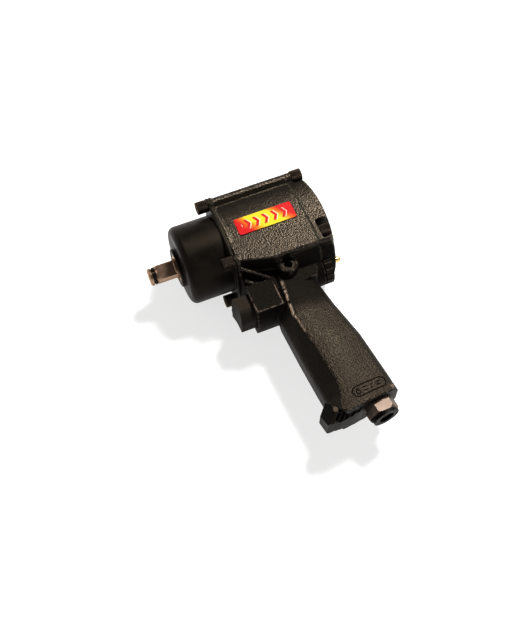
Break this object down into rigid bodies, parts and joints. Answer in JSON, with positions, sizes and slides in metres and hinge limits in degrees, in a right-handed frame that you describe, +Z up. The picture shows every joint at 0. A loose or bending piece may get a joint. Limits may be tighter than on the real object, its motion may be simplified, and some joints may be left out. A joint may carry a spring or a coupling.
{
  "type": "impact wrench",
  "caption": "Compact pneumatic impact wrench with a square drive, pistol grip, push trigger, reverse knob, louvred exhaust and hex air inlet.",
  "frame": {"origin": "on the floor under the middle of the tool, which lies on its right side", "axes": "+X rearward along the drive axis, +Y towards the top of the tool, +Z up, towards its left side"},
  "size_m": [0.1473, 0.2101, 0.067],
  "materials": {
    "case": "satin black-brown phosphate",
    "casting": "black wrinkle coat",
    "anvil_steel": "brown oxidised steel",
    "screw_steel": "black-brown oxide",
    "ground_steel": "ground",
    "bronze": "oiled bronze",
    "brass": "pale brass",
    "rubber": "matte",
    "gasket": "fibre",
    "vane": "resin fibre",
    "trigger": "smooth satin",
    "black_plastic": "moulded",
    "knob": "satin black",
    "inlet_steel": "brown oxidised steel, bright on the flats",
    "plate": "glossy red to yellow",
    "felt": "felt",
    "spring_steel": "wire"
  },
  "bodies": {
    "housing": {"hammer_case": "case", "anvil_bushing": "bronze", "front_gasket": "gasket", "front_end_plate": "ground_steel", "front_bearing": "ground_steel", "motor_cylinder": "ground_steel", "dowel_pins": "ground_steel", "rear_end_plate": "ground_steel", "rear_bearing": "ground_steel", "motor_housing": "casting", "rear_gasket": "gasket", "rear_cover": "casting", "front_cap_screws": "screw_steel", "front_spring_washers": "screw_steel", "rear_cap_screws": "screw_steel", "rear_spring_washers": "screw_steel", "name_plate": "plate", "side_plug": "knob", "plug_o_ring": "rubber", "throttle_bushing": "bronze", "throttle_spring": "spring_steel", "throttle_plug": "bronze", "detent_ball": "ground_steel", "detent_spring": "spring_steel", "inlet_bushing": "inlet_steel", "inlet_screen": "ground_steel", "inlet_o_ring": "rubber", "silencer_pad": "felt", "exhaust_deflector": "black_plastic", "deflector_screws": "screw_steel", "grip_pin": "screw_steel"},
    "anvil": {"anvil": "anvil_steel", "socket_ring": "black_plastic", "socket_o_ring": "rubber"},
    "motor": {"hammer_cage": "ground_steel", "hammer_pins": "ground_steel", "rotor": "ground_steel", "rotor_vanes": "vane"},
    "front_dog": {"hammer_dog_front": "ground_steel"},
    "rear_dog": {"hammer_dog_rear": "ground_steel"},
    "trigger": {"trigger": "trigger", "trigger_stem": "ground_steel", "throttle_valve": "brass"},
    "knob": {"reverse_knob": "knob", "reverse_valve": "ground_steel", "knob_screw": "brass"}
  },
  "joints": [
    {"name": "anvil_spin", "type": "hinge", "parent": "housing", "child": "anvil", "pos_m": [-0.06065, 0.07155, 0.0335], "axis": [1, 0, 0], "continuous": true},
    {"name": "motor_spin", "type": "hinge", "parent": "housing", "child": "motor", "pos_m": [0.01635, 0.07155, 0.0335], "axis": [1, 0, 0], "continuous": true},
    {"name": "front_dog_rock", "type": "hinge", "parent": "motor", "child": "front_dog", "pos_m": [-0.02985, 0.07155, 0.054], "axis": [1, 0, 0], "range_deg": [-2, 2]},
    {"name": "rear_dog_rock", "type": "hinge", "parent": "motor", "child": "rear_dog", "pos_m": [-0.02225, 0.07155, 0.013], "axis": [1, 0, 0], "range_deg": [-2, 2]},
    {"name": "trigger_pull", "type": "slide", "parent": "housing", "child": "trigger", "axis": [1, 0, 0], "range_m": [0, 0.0065], "stiffness_N_per_m": 900, "deforming": ["throttle_spring"]},
    {"name": "knob_turn", "type": "hinge", "parent": "housing", "child": "knob", "pos_m": [0.05635, 0.03105, 0.0335], "axis": [1, 0, 0], "range_deg": [-60, 60]}
  ]
}
